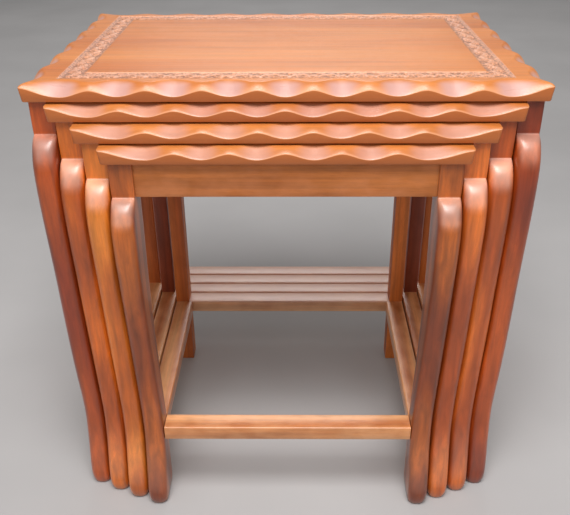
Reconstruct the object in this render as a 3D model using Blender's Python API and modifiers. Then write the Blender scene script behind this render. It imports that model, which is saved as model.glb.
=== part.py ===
"""Nest of four graduated occasional tables in carved hardwood.

Each table is a scalloped top board on two curved front legs, two straight back legs, aprons and
stretchers, joined by stub tenons. The three inner tables slide out to the front: the ends of each
inner top run in grooves cut in the posts and side aprons of the table outside it.
Metres, +Z up, front towards -Y, origin on the floor under the middle of the nest.
"""

import math
from dataclasses import dataclass

import bmesh
import bpy
from mathutils import Matrix, Vector

# Overall sizes of the largest table.
TOP_WIDTH = 0.560
TOP_DEPTH = 0.368
TOP_HEIGHT = 0.5455

# Top boards. The first value of a pair or row is the largest table's.
LARGEST_TOP_THICKNESS = 0.0200
TOP_THICKNESS = 0.0178
STACK_GAP = 0.0020  # air between one top and the top under it
FRONT_STEPS = (0.0065, 0.0115, 0.0100)  # how far each inner top stands in front of the next
EDGE_TAPER = 0.0015  # the board's edges lean in towards the underside
SIDE_OVERHANG = 0.0060  # largest top past its front posts
BACK_OVERHANG = 0.0030  # largest top past its back legs

# Scalloped edge: scoops cut at 45 degrees down to the edge.
SCALLOP_PITCH = 0.059
SCALLOP_END = 0.036  # least distance from a corner to the first scoop's middle
LARGEST_CORNER_DROP = 0.0040  # arris under the top face at a corner
CORNER_DROP = 0.0018
RIDGE_FALL = 0.0032  # ridges under the corners
VALLEY_FALL = 0.0100  # valleys under the corners
POINTS_PER_SCALLOP = 6
CUTTER_MARGIN = 0.004  # a scallop cutter's overrun past the wood, on every side

# Front legs: a square post, a knee below it, an ankle at the stretchers and a toe.
LEG_WIDTH = 0.026
POST_DEPTH = 0.0265
POST_SETBACK = 0.008  # post behind the top's front edge
POST_DROPS = (0.0380, 0.0440, 0.0430, 0.0415)  # underside of the top to the knee's ledge
TOE_REACHES = (0.034, 0.041, 0.042, 0.043)  # toe in front of the post's face
KNEE_REACH = 0.0265
ANKLE_REAR = 0.0045  # ankle's rear face behind the post's face
ANKLE_INSET = 0.0085  # ankle inside the post's outer face
ANKLE_REACHES = (0.64, 0.56)  # shares of the toe's reach, at the ankle's foot and head
ARRIS_RADIUS = 0.0055
POST_ARRIS = 0.0012

# How the tables nest.
NEST_GAP = 0.0018  # side play between one table's legs and the next
BACK_GAP = 0.0016  # between one table's back legs and the next
GROOVE_DEPTH = 0.0070
GROOVE_PLAY = 0.0008  # at the ends of an inner top
GROOVE_REST = 0.0006  # under an inner top
GROOVE_OVERRUN = 0.001  # groove cutter past the faces it opens
TOP_BACK_GAP = 0.0006  # behind an inner top, to the back legs of the table outside it

# Back legs, aprons and stretchers.
BACK_LEG_WIDTH = 0.021
BACK_LEG_DEPTH = 0.027
BACK_LEG_CHAMFER = 0.0012
APRON_THICKNESS = 0.0170
BACK_APRON_INSET = 0.0045  # behind the back legs' front faces
FRONT_APRON_INSET = 0.0030  # smallest table only, behind the posts' faces
STRETCHER_TOP = 0.1142
STRETCHER_THICKNESS = 0.0190
FRONT_STRETCHER_WIDTH = 0.026
FRONT_STRETCHER_INSET = 0.0050  # behind the ankles' front faces

# Joinery.
TENON_LENGTH = 0.008
TENON_THICKNESS = 0.006
APRON_TENON_SHOULDER = 0.004
STRETCHER_TENON_SHOULDER = 0.005
TENON_CLEARANCE = 0.0003
SEAT_GAP = 0.0003  # between pieces glued face to face

TABLE_COUNT = 4
SEAT_MARGIN = 0.006  # flat of the ankle above and below a stretcher
FRONT_LEG_COLOURS = (
    (0.262, 0.050, 0.014),
    (0.356, 0.102, 0.026),
    (0.545, 0.190, 0.035),
    (0.314, 0.072, 0.020),
)
TOP_COLOUR = (0.560, 0.215, 0.078)
APRON_COLOUR = (0.400, 0.130, 0.040)
BACK_LEG_COLOUR = (0.290, 0.085, 0.026)
STRETCHER_COLOUR = (0.500, 0.205, 0.085)
WOOD_ROUGHNESS = 0.32


@dataclass(frozen=True)
class Table:
    """One table's own sizes and places. Index 0 is the largest."""

    index: int

    @property
    def number(self):
        return self.index + 1

    @property
    def outer(self):
        return Table(self.index - 1)

    @property
    def is_largest(self):
        return self.index == 0

    @property
    def is_smallest(self):
        return self.index == TABLE_COUNT - 1

    @property
    def thickness(self):
        return LARGEST_TOP_THICKNESS if self.is_largest else TOP_THICKNESS

    @property
    def corner_drop(self):
        return LARGEST_CORNER_DROP if self.is_largest else CORNER_DROP

    @property
    def height(self):
        return TOP_HEIGHT if self.is_largest else self.outer.underside - STACK_GAP

    @property
    def underside(self):
        return self.height - self.thickness

    @property
    def leg_outer(self):
        """Outer face of the front posts, as a distance from the middle."""
        if self.is_largest:
            return TOP_WIDTH / 2 - SIDE_OVERHANG
        return self.outer.leg_inner - NEST_GAP

    @property
    def leg_inner(self):
        return self.leg_outer - LEG_WIDTH

    @property
    def half_width(self):
        if self.is_largest:
            return TOP_WIDTH / 2
        return self.outer.leg_inner + GROOVE_DEPTH - GROOVE_PLAY

    @property
    def front(self):
        """Front edge of the top."""
        if self.is_largest:
            return nest_back() - TOP_DEPTH
        return self.outer.front - FRONT_STEPS[self.index - 1]

    @property
    def back(self):
        """Back edge of the top."""
        if self.is_largest:
            return nest_back()
        return self.outer.back_leg_front - TOP_BACK_GAP

    @property
    def post_front(self):
        return self.front + POST_SETBACK

    @property
    def post_rear(self):
        return self.post_front + POST_DEPTH

    @property
    def back_leg_rear(self):
        if self.is_largest:
            return nest_back() - BACK_OVERHANG
        return self.outer.back_leg_front - BACK_GAP

    @property
    def back_leg_front(self):
        return self.back_leg_rear - BACK_LEG_DEPTH

    @property
    def side_outer(self):
        """Outer face of the back legs and side stretchers."""
        return self.leg_outer - ANKLE_INSET

    @property
    def back_leg_inner(self):
        return self.side_outer - BACK_LEG_WIDTH

    @property
    def ledge(self):
        """Height of the knee's ledge, which is also the aprons' lower edge."""
        return self.underside - POST_DROPS[self.index]

    @property
    def toe_reach(self):
        return TOE_REACHES[self.index]


def nest_back():
    """Back edge of the largest top, so that the nest's box is centred on the origin."""
    toe_in_front = sum(FRONT_STEPS) - POST_SETBACK + TOE_REACHES[-1]
    return (TOP_DEPTH + toe_in_front) / 2


def collection(name):
    made = bpy.data.collections.new(name)
    bpy.context.scene.collection.children.link(made)
    return made


def clear_scene():
    for obj in list(bpy.data.objects):
        bpy.data.objects.remove(obj, do_unlink=True)


def wood(name, colour):
    material = bpy.data.materials.new(name)
    material.use_nodes = True
    shader = material.node_tree.nodes["Principled BSDF"]
    shader.inputs["Base Color"].default_value = (*colour, 1.0)
    shader.inputs["Roughness"].default_value = WOOD_ROUGHNESS
    shader.inputs["Metallic"].default_value = 0.0
    return material


def add_object(name, bm, parts, colour):
    bmesh.ops.recalc_face_normals(bm, faces=bm.faces)
    mesh = bpy.data.meshes.new(name)
    bm.to_mesh(mesh)
    bm.free()
    mesh.materials.append(wood(name, colour))
    obj = bpy.data.objects.new(name, mesh)
    parts.objects.link(obj)
    return obj


def box_mesh(low, high):
    bm = bmesh.new()
    bmesh.ops.create_cube(bm, size=1.0)
    size = [b - a for a, b in zip(low, high)]
    middle = [(a + b) / 2 for a, b in zip(low, high)]
    bmesh.ops.transform(bm, matrix=Matrix.Diagonal((*size, 1.0)), verts=bm.verts)
    bmesh.ops.translate(bm, vec=middle, verts=bm.verts)
    return bm


def add_cutter(name, bm, cutters):
    bmesh.ops.recalc_face_normals(bm, faces=bm.faces)
    mesh = bpy.data.meshes.new(name)
    bm.to_mesh(mesh)
    bm.free()
    cutter = bpy.data.objects.new(name, mesh)
    cutters.objects.link(cutter)
    cutter.hide_render = True
    cutter.display_type = "WIRE"
    return cutter


def cut(obj, cutter):
    modifier = obj.modifiers.new(cutter.name, "BOOLEAN")
    modifier.operation = "DIFFERENCE"
    modifier.solver = "EXACT"
    modifier.object = cutter


def chamfer(obj, width):
    modifier = obj.modifiers.new("softened arrises", "BEVEL")
    modifier.width = width
    modifier.segments = 1
    modifier.limit_method = "ANGLE"


def mirrored_box(side, low, high):
    """A box given for the +X side, turned to the side asked for."""
    if side > 0:
        return low, high
    return (-high[0], *low[1:]), (-low[0], *high[1:])


def end_face(bm, axis, positive):
    """The face of a box that looks along an axis."""
    wanted = Vector([0.0, 0.0, 0.0])
    wanted[axis] = 1.0 if positive else -1.0
    bm.normal_update()
    return max(bm.faces, key=lambda face: face.normal.dot(wanted))


def add_tenon(bm, axis, positive, low, high):
    """Shrinks a copy of a rail's end face to the tenon's section and draws it out to its length."""
    face = end_face(bm, axis, positive)
    shoulder = bmesh.ops.extrude_discrete_faces(bm, faces=[face])["faces"][0]
    middle = shoulder.calc_center_median()
    for vert in shoulder.verts:
        for other in range(3):
            if other != axis:
                beyond = vert.co[other] > middle[other]
                vert.co[other] = high[other] if beyond else low[other]
    tip = bmesh.ops.extrude_discrete_faces(bm, faces=[shoulder])["faces"][0]
    for vert in tip.verts:
        vert.co[axis] = high[axis] if positive else low[axis]


def rail(name, low, high, axis, tenons, parts, colour):
    """A board between two legs, with a stub tenon on each end given as (positive, low, high)."""
    bm = box_mesh(low, high)
    for positive, tenon_low, tenon_high in tenons:
        add_tenon(bm, axis, positive, tenon_low, tenon_high)
    return add_object(name, bm, parts, colour)


def mortise(name, leg, low, high, cutters):
    """A pocket for a tenon, with clearance all round it."""
    play = TENON_CLEARANCE
    bm = box_mesh([a - play for a in low], [b + play for b in high])
    cut(leg, add_cutter(name, bm, cutters))


def arris_fall(place, length):
    """How far the arris lies under the corners, at a place along an edge from its middle."""
    count = int((length - 2 * SCALLOP_END) / SCALLOP_PITCH) + 1
    last = (count - 1) / 2 * SCALLOP_PITCH
    past = abs(place) - last
    if past <= 0:
        turn = 2 * math.pi * (place - last) / SCALLOP_PITCH
        return RIDGE_FALL + (VALLEY_FALL - RIDGE_FALL) * (1 + math.cos(turn)) / 2
    turn = math.pi * min(past / (length / 2 - last), 1.0)
    return VALLEY_FALL * (1 + math.cos(turn)) / 2


def scallop_cutter(name, length, centre, turn, table, cutters):
    """A wavy prism laid at 45 degrees: all that the carver's gouge takes off one edge.

    It's made along X with the board towards +Y, then turned about Z to its edge.
    """
    outside = CUTTER_MARGIN
    inside = table.corner_drop + VALLEY_FALL + CUTTER_MARGIN
    lid = -table.corner_drop
    steps = int(round(length / SCALLOP_PITCH * POINTS_PER_SCALLOP))
    bm = bmesh.new()
    ring = []
    for step in range(steps + 1):
        along = (step / steps - 0.5) * length
        reach = along * (1 + 2 * outside / length)
        ring.append(bm.verts.new((reach, -outside, lid - arris_fall(along, length) - outside)))
    half = length / 2 + outside
    ring.append(bm.verts.new((half, -outside, CUTTER_MARGIN)))
    ring.append(bm.verts.new((-half, -outside, CUTTER_MARGIN)))
    outline = bm.faces.new(ring)
    moved = bmesh.ops.extrude_face_region(bm, geom=[outline])["geom"]
    verts = [item for item in moved if isinstance(item, bmesh.types.BMVert)]
    reach = outside + inside
    bmesh.ops.translate(bm, vec=(0.0, reach, reach), verts=verts)
    placed = Matrix.Translation((*centre, table.height)) @ Matrix.Rotation(turn, 4, "Z")
    bmesh.ops.transform(bm, matrix=placed, verts=bm.verts)
    return add_cutter(name, bm, cutters)


def make_top(table, parts, cutters):
    """The board, its edges leaning in a little, scooped along its front and back.

    The largest is scooped along its ends too; an inner top's ends are plain, to run in the grooves.
    """
    half = table.half_width
    bm = box_mesh((-half, table.front, table.underside), (half, table.back, table.height))
    middle = (table.front + table.back) / 2
    for vert in bm.verts:
        if vert.co.z < table.height - table.thickness / 2:
            vert.co.x -= math.copysign(EDGE_TAPER, vert.co.x)
            vert.co.y -= math.copysign(EDGE_TAPER, vert.co.y - middle)
    top = add_object(f"table_{table.number}_top", bm, parts, TOP_COLOUR)
    depth = table.back - table.front
    edges = [
        ("front", 2 * half, (0.0, table.front), 0.0),
        ("back", 2 * half, (0.0, table.back), math.pi),
    ]
    if table.is_largest:
        edges.append(("right", depth, (half, middle), math.pi / 2))
        edges.append(("left", depth, (-half, middle), -math.pi / 2))
    for edge, length, centre, turn in edges:
        name = f"table_{table.number}_{edge}_scallops"
        cut(top, scallop_cutter(name, length, centre, turn, table, cutters))


def between(knots, place):
    """Straight-line reading of (place, value) knots."""
    for (a, low), (b, high) in zip(knots, knots[1:]):
        if place <= b:
            return low + (high - low) * (place - a) / (b - a)
    return knots[-1][1]


def ankle_span():
    """Lowest and highest point of the ankle's flat, where the stretchers meet it."""
    return STRETCHER_TOP - STRETCHER_THICKNESS - SEAT_MARGIN, STRETCHER_TOP + SEAT_MARGIN


def inward_lean(height):
    """How far a front leg stands inside its post, the same curve for every table."""
    low, high = ankle_span()
    span = Table(0).ledge - high
    knots = (
        (0.0, 0.98 * ANKLE_INSET),
        (0.36 * low, 0.90 * ANKLE_INSET),
        (low, ANKLE_INSET),
        (high, ANKLE_INSET),
        (high + 0.08 * span, 0.72 * ANKLE_INSET),
        (high + 0.17 * span, 0.48 * ANKLE_INSET),
        (high + 0.27 * span, 0.22 * ANKLE_INSET),
        (high + 0.38 * span, 0.05 * ANKLE_INSET),
        (high + 0.49 * span, 0.0),
        (high + 10 * span, 0.0),
    )
    return between(knots, height)


def leg_sections(table):
    """(height, reach in front of the post's face, rear face behind it, arris radius, inset)."""
    low, high = ankle_span()
    span = table.ledge - high
    toe = table.toe_reach
    slim = POST_DEPTH - ANKLE_REAR
    arris = ARRIS_RADIUS
    return (
        (0.0, 0.88 * toe, 0.003, arris, 0.003),
        (0.05 * low, 0.97 * toe, 0.004, arris, 0.0),
        (0.20 * low, toe, 0.003, arris, 0.0),
        (0.50 * low, 0.86 * toe, 0.003, arris, 0.0),
        (low, ANKLE_REACHES[0] * toe, ANKLE_REAR, arris, 0.0),
        (high, ANKLE_REACHES[1] * toe, ANKLE_REAR, arris, 0.0),
        (high + 0.13 * span, 0.75 * KNEE_REACH, ANKLE_REAR + 0.27 * slim, arris, 0.0),
        (high + 0.295 * span, 0.62 * KNEE_REACH, ANKLE_REAR + 0.61 * slim, arris, 0.0),
        (high + 0.54 * span, 0.66 * KNEE_REACH, ANKLE_REAR + 0.93 * slim, arris, 0.0),
        (high + 0.705 * span, 0.89 * KNEE_REACH, POST_DEPTH, arris, 0.0),
        (high + 0.82 * span, KNEE_REACH, POST_DEPTH, arris, 0.0),
        (high + 0.908 * span, 0.89 * KNEE_REACH, POST_DEPTH, arris, 0.0),
        (high + 0.96 * span, 0.60 * KNEE_REACH, POST_DEPTH, arris, 0.0),
        (high + 0.987 * span, 0.26 * KNEE_REACH, POST_DEPTH, POST_ARRIS, 0.0),
        (table.ledge, 0.0, POST_DEPTH, POST_ARRIS, 0.0),
        (table.underside - SEAT_GAP, 0.0, POST_DEPTH, POST_ARRIS, 0.0),
    )


def leg_ring(bm, table, side, section):
    """One closed section of a front leg: its front arrises are round, its rear ones chamfered."""
    height, reach, rear, radius, inset = section
    outer = table.leg_outer - inward_lean(height) - inset
    inner = table.leg_inner - inward_lean(height) + inset
    front = table.post_front - reach
    back = table.post_front + rear
    small = POST_ARRIS
    eased = radius * (1 - math.sqrt(0.5))
    points = (
        (outer, back - small),
        (outer - small, back),
        (inner + small, back),
        (inner, back - small),
        (inner, front + radius),
        (inner + eased, front + eased),
        (inner + radius, front),
        (outer - radius, front),
        (outer - eased, front + eased),
        (outer, front + radius),
    )
    return [bm.verts.new((side * x, y, height)) for x, y in points]


def make_front_leg(table, side, side_name, parts):
    """A leg lofted from its sections, floor to underside."""
    bm = bmesh.new()
    rings = [leg_ring(bm, table, side, section) for section in leg_sections(table)]
    for low, high in zip(rings, rings[1:]):
        for at in range(len(low)):
            after = (at + 1) % len(low)
            bm.faces.new((low[at], low[after], high[after], high[at]))
    bm.faces.new(rings[0])
    bm.faces.new(rings[-1])
    name = f"table_{table.number}_front_leg_{side_name}"
    return add_object(name, bm, parts, FRONT_LEG_COLOURS[table.index])


def make_back_leg(table, side, side_name, parts):
    low = (table.back_leg_inner, table.back_leg_front, 0.0)
    high = (table.side_outer, table.back_leg_rear, table.underside - SEAT_GAP)
    name = f"table_{table.number}_back_leg_{side_name}"
    bm = box_mesh(*mirrored_box(side, low, high))
    leg = add_object(name, bm, parts, BACK_LEG_COLOUR)
    chamfer(leg, BACK_LEG_CHAMFER)
    return leg


def make_side_apron(table, side, side_name, front_leg, back_leg, parts, cutters):
    """The board under a top's end, tenoned into the post and the back leg."""
    inner = table.leg_inner
    outer = inner + APRON_THICKNESS
    low = (inner, table.post_rear + SEAT_GAP, table.ledge)
    high = (outer, table.back_leg_front - SEAT_GAP, table.underside - SEAT_GAP)
    beside = (inner + GROOVE_DEPTH + outer) / 2
    tenon_low = (beside - TENON_THICKNESS / 2, table.post_rear - TENON_LENGTH,
                 low[2] + APRON_TENON_SHOULDER)
    tenon_high = (beside + TENON_THICKNESS / 2, table.back_leg_front + TENON_LENGTH,
                  high[2] - APRON_TENON_SHOULDER)
    low, high = mirrored_box(side, low, high)
    tenon_low, tenon_high = mirrored_box(side, tenon_low, tenon_high)
    name = f"table_{table.number}_side_apron_{side_name}"
    tenons = ((False, tenon_low, tenon_high), (True, tenon_low, tenon_high))
    apron = rail(name, low, high, 1, tenons, parts, APRON_COLOUR)
    mortise(f"{name}_front_mortise", front_leg, tenon_low,
            (tenon_high[0], table.post_rear + TENON_LENGTH, tenon_high[2]), cutters)
    mortise(f"{name}_back_mortise", back_leg,
            (tenon_low[0], table.back_leg_front - TENON_LENGTH, tenon_low[2]), tenon_high, cutters)
    return apron


def cut_groove(table, side, side_name, pieces, cutters):
    """The rebate under the top in which the next table's top runs."""
    inside = Table(table.index + 1)
    low = (table.leg_inner - GROOVE_OVERRUN, table.post_front - GROOVE_OVERRUN,
           inside.underside - GROOVE_REST)
    high = (table.leg_inner + GROOVE_DEPTH, table.back_leg_front,
            table.underside + GROOVE_OVERRUN)
    bm = box_mesh(*mirrored_box(side, low, high))
    cutter = add_cutter(f"table_{table.number}_groove_{side_name}", bm, cutters)
    for piece in pieces:
        cut(piece, cutter)


def stretcher_heights():
    return STRETCHER_TOP - STRETCHER_THICKNESS, STRETCHER_TOP


def make_side_stretcher(table, side, side_name, front_leg, back_leg, parts, cutters):
    """The flat board from the ankle to the back leg, as wide as the ankle."""
    bottom, top = stretcher_heights()
    ankle_rear = table.post_front + ANKLE_REAR
    outer = table.side_outer
    low = (outer - LEG_WIDTH, ankle_rear + SEAT_GAP, bottom)
    high = (outer, table.back_leg_front - SEAT_GAP, top)
    middle = outer - BACK_LEG_WIDTH / 2
    tenon_low = (middle - TENON_THICKNESS / 2, ankle_rear - TENON_LENGTH,
                 bottom + STRETCHER_TENON_SHOULDER)
    tenon_high = (middle + TENON_THICKNESS / 2, table.back_leg_front + TENON_LENGTH,
                  top - STRETCHER_TENON_SHOULDER)
    low, high = mirrored_box(side, low, high)
    tenon_low, tenon_high = mirrored_box(side, tenon_low, tenon_high)
    name = f"table_{table.number}_side_stretcher_{side_name}"
    tenons = ((False, tenon_low, tenon_high), (True, tenon_low, tenon_high))
    rail(name, low, high, 1, tenons, parts, STRETCHER_COLOUR)
    mortise(f"{name}_front_mortise", front_leg, tenon_low,
            (tenon_high[0], ankle_rear + TENON_LENGTH, tenon_high[2]), cutters)
    mortise(f"{name}_back_mortise", back_leg,
            (tenon_low[0], table.back_leg_front - TENON_LENGTH, tenon_low[2]), tenon_high, cutters)


def make_cross_rail(name, leg_inner, front, back, heights, shoulder, legs, parts, cutters, colour):
    """A board from leg to leg across the table, legs given left then right."""
    bottom, top = heights
    middle = (front + back) / 2
    low = (-leg_inner + SEAT_GAP, front, bottom)
    high = (leg_inner - SEAT_GAP, back, top)
    reach = leg_inner + TENON_LENGTH
    tenon_low = (-reach, middle - TENON_THICKNESS / 2, bottom + shoulder)
    tenon_high = (reach, middle + TENON_THICKNESS / 2, top - shoulder)
    tenons = ((False, tenon_low, tenon_high), (True, tenon_low, tenon_high))
    rail(name, low, high, 0, tenons, parts, colour)
    left, right = legs
    mouth = leg_inner - TENON_LENGTH
    mortise(f"{name}_left_mortise", left, tenon_low, (-mouth, *tenon_high[1:]), cutters)
    mortise(f"{name}_right_mortise", right, (mouth, *tenon_low[1:]), tenon_high, cutters)


def make_back_rails(table, back_legs, parts, cutters):
    """The back apron under the top and the back stretcher."""
    front = table.back_leg_front + BACK_APRON_INSET
    make_cross_rail(
        f"table_{table.number}_back_apron", table.back_leg_inner, front,
        front + APRON_THICKNESS, (table.ledge, table.underside - SEAT_GAP),
        APRON_TENON_SHOULDER, back_legs, parts, cutters, APRON_COLOUR,
    )
    make_cross_rail(
        f"table_{table.number}_back_stretcher", table.back_leg_inner, table.back_leg_front,
        table.back_leg_rear, stretcher_heights(),
        STRETCHER_TENON_SHOULDER, back_legs, parts, cutters, STRETCHER_COLOUR,
    )


def make_front_rails(table, front_legs, parts, cutters):
    """The smallest table's front apron and front stretcher, which the others leave out."""
    front = table.post_front + FRONT_APRON_INSET
    make_cross_rail(
        f"table_{table.number}_front_apron", table.leg_inner, front,
        front + APRON_THICKNESS, (table.ledge, table.underside - SEAT_GAP),
        APRON_TENON_SHOULDER, front_legs, parts, cutters, APRON_COLOUR,
    )
    ankle_front = table.post_front - sum(ANKLE_REACHES) / 2 * table.toe_reach
    front = ankle_front + FRONT_STRETCHER_INSET
    make_cross_rail(
        f"table_{table.number}_front_stretcher", table.leg_inner - ANKLE_INSET, front,
        front + FRONT_STRETCHER_WIDTH, stretcher_heights(),
        STRETCHER_TENON_SHOULDER, front_legs, parts, cutters, STRETCHER_COLOUR,
    )


def make_table(table, parts, cutters):
    make_top(table, parts, cutters)
    front_legs = []
    back_legs = []
    for side, side_name in ((-1, "left"), (1, "right")):
        front_leg = make_front_leg(table, side, side_name, parts)
        back_leg = make_back_leg(table, side, side_name, parts)
        apron = make_side_apron(table, side, side_name, front_leg, back_leg, parts, cutters)
        make_side_stretcher(table, side, side_name, front_leg, back_leg, parts, cutters)
        if not table.is_smallest:
            cut_groove(table, side, side_name, (front_leg, apron), cutters)
        front_legs.append(front_leg)
        back_legs.append(back_leg)
    make_back_rails(table, back_legs, parts, cutters)
    if table.is_smallest:
        make_front_rails(table, front_legs, parts, cutters)


def main():
    clear_scene()
    parts = collection("nesting_tables")
    cutters = collection("cutters")
    for index in range(TABLE_COUNT):
        make_table(Table(index), parts, cutters)


main()
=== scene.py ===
"""A nest of four carved hardwood tables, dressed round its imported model.

Each table is a class that builds its scalloped top, curved front legs, straight back legs, aprons and
stretchers, and varnishes them. Metres, +Z up, front towards -Y.
"""

import logging
import math
import random
from collections.abc import Callable, Sequence
from dataclasses import dataclass
from enum import Enum

import bmesh
import bpy
from mathutils import Matrix, Vector, noise


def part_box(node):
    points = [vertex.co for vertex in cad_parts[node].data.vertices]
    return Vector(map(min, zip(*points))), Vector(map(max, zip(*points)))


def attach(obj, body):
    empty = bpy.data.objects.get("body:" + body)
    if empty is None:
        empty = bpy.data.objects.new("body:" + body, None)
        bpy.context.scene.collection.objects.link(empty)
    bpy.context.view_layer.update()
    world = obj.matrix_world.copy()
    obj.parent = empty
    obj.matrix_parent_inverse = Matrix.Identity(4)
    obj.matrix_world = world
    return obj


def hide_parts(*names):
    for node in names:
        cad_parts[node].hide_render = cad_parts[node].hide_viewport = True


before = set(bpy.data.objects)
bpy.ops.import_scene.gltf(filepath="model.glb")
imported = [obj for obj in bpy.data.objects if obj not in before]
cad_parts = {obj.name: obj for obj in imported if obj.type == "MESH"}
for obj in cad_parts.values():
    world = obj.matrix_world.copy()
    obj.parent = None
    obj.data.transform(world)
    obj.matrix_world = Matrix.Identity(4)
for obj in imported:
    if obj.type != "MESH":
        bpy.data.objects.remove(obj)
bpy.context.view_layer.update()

LOG = logging.getLogger("nest")

Colour = tuple[float, float, float]
Point = tuple[float, float, float]

# Sizes shared by every table.
TABLE_COUNT = 4
LEG_WIDTH = 0.026
POST_DEPTH = 0.0265
ANKLE_INSET = 0.0085
ANKLE_REAR = 0.0045
KNEE_REACH = 0.0265
TENON_LENGTH = 0.008
STRETCHER_TOP = 0.1142
STRETCHER_THICKNESS = 0.019
SEAT_MARGIN = 0.006
GROOVE_DEPTH = 0.0070
GROOVE_REST = 0.0006
SCALLOP_PITCH = 0.059
SCALLOP_END = 0.036

# Sizes of one kind of piece, and how finely it is worked.
CARVED_GRID = 0.00115  # between the places that are carved, on the largest top
PLAIN_GRID = 0.0022
LARGEST_HALF_WIDTH = 0.280
LARGEST_EDGE = (0.0040, 1.0)  # how far the edge drops at a corner, and how strongly its scoops get the painted reflection
# The inner tops' scoops get less painted reflection, as painted shade from the board above.
INNER_EDGE = (0.0018, 0.55)
PANEL_MARGIN = 0.0225  # from an inner top's edge to its plain panel
RIM_MARGIN = 0.002
CLEAR_CUT = 0.01  # how far a saw runs past a face
REBATE_CLEAR = 0.004  # the same on a post's inner face
APRON_ARRIS = 0.0006
STRETCHER_ARRIS = 0.0022
BACK_LEG_ARRIS = 0.0016
SHARP_EDGE = 1.0  # radians


class Grain(Enum):
    """The way the grain runs in a piece, as the turn that lays it along X."""

    ALONG_X = (0.0, 0.0, 0.0)
    ALONG_Y = (0.0, 0.0, math.pi / 2)
    ALONG_Z = (0.0, math.pi / 2, 0.0)


class Side(Enum):
    """Which side of a table a piece is on."""

    LEFT = -1
    RIGHT = 1


# ---------------- hand tools


def deselect() -> None:
    """Leaves nothing selected."""
    for item in bpy.context.selected_objects:
        item.select_set(False)


def take(piece: bpy.types.Object) -> None:
    """Makes a piece the active and only selected one.

    Args:
        piece: the object.
    """
    deselect()
    bpy.context.view_layer.objects.active = piece
    piece.select_set(True)


def rename(piece: bpy.types.Object, name: str) -> bpy.types.Object:
    """Names a piece and its mesh.

    Args:
        piece: the object just made.
        name: its name.

    Returns:
        The same object.
    """
    piece.name = name
    piece.data.name = name
    return piece


def add_block(name: str, low: Sequence[float], high: Sequence[float]) -> bpy.types.Object:
    """Adds a cube at the size and place of a box.

    Args:
        name: the new object's name.
        low: the box's lowest corner.
        high: the box's highest corner.

    Returns:
        The object, with its place applied to its mesh.
    """
    deselect()
    middle = [(a + b) / 2 for a, b in zip(low, high)]
    bpy.ops.mesh.primitive_cube_add(size=1.0, location=middle)
    piece = bpy.context.object
    piece.scale = [b - a for a, b in zip(low, high)]
    bpy.ops.object.transform_apply(location=True, rotation=True, scale=True)
    return rename(piece, name)


def edit(piece: bpy.types.Object, mode: str) -> None:
    """Opens a piece in edit mode with nothing selected.

    Args:
        piece: the object to open.
        mode: VERT, EDGE or FACE.
    """
    bpy.context.view_layer.objects.active = piece
    bpy.ops.object.mode_set(mode="EDIT")
    bpy.ops.mesh.select_mode(type=mode)
    bpy.ops.mesh.select_all(action="DESELECT")


def close_edit() -> None:
    """Goes back to object mode."""
    bpy.ops.object.mode_set(mode="OBJECT")


def pick(piece: bpy.types.Object, kind: str, wanted: Callable[[object], bool]) -> None:
    """Selects the faces or edges that pass a test and no others.

    Args:
        piece: the object open in edit mode.
        kind: "faces" or "edges".
        wanted: says whether one of them is selected.
    """
    bm = bmesh.from_edit_mesh(piece.data)
    parts = getattr(bm, kind)
    for part in parts:
        part.select_set(False)
    for part in [part for part in parts if wanted(part)]:
        part.select_set(True)
    bmesh.update_edit_mesh(piece.data)


def face_outward() -> None:
    """Turns every face of the piece that is open in edit mode outward."""
    bpy.ops.mesh.select_all(action="SELECT")
    bpy.ops.mesh.normals_make_consistent(inside=False)


def cut_with_box(piece: bpy.types.Object, low: Sequence[float], high: Sequence[float]) -> None:
    """Cuts a box out of a piece, as a saw and chisel would.

    Args:
        piece: the object that is cut.
        low: the box's lowest corner.
        high: the box's highest corner.
    """
    saw = add_block("saw", low, high)
    take(piece)
    bpy.ops.object.modifier_add(type="BOOLEAN")
    modifier = piece.modifiers[-1]
    modifier.operation = "DIFFERENCE"
    modifier.solver = "EXACT"
    modifier.object = saw
    bpy.ops.object.modifier_apply(modifier=modifier.name)
    bpy.data.objects.remove(saw, do_unlink=True)


def smooth(piece: bpy.types.Object, degrees: float) -> None:
    """Shades a piece smooth up to an angle.

    Args:
        piece: the object.
        degrees: edges sharper than this stay crisp.
    """
    take(piece)
    bpy.ops.object.shade_smooth_by_angle(angle=math.radians(degrees))


def between(knots: Sequence[tuple[float, float]], place: float) -> float:
    """Reads a curve given as (place, value) knots, with straight runs between them.

    Args:
        knots: the knots in order.
        place: where to read it.

    Returns:
        The value there.
    """
    for (a, low), (b, high) in zip(knots, knots[1:]):
        if place <= b:
            return low + (high - low) * (place - a) / (b - a)
    return knots[-1][1]


def ease(low: float, high: float, value: float) -> float:
    """A smooth step from 0 at low to 1 at high.

    Args:
        low: where it starts.
        high: where it ends.
        value: where to read it.

    Returns:
        A share from 0 to 1.
    """
    share = min(max((value - low) / (high - low), 0.0), 1.0)
    return share * share * (3 - 2 * share)


# ---------------- varnished wood


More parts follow.
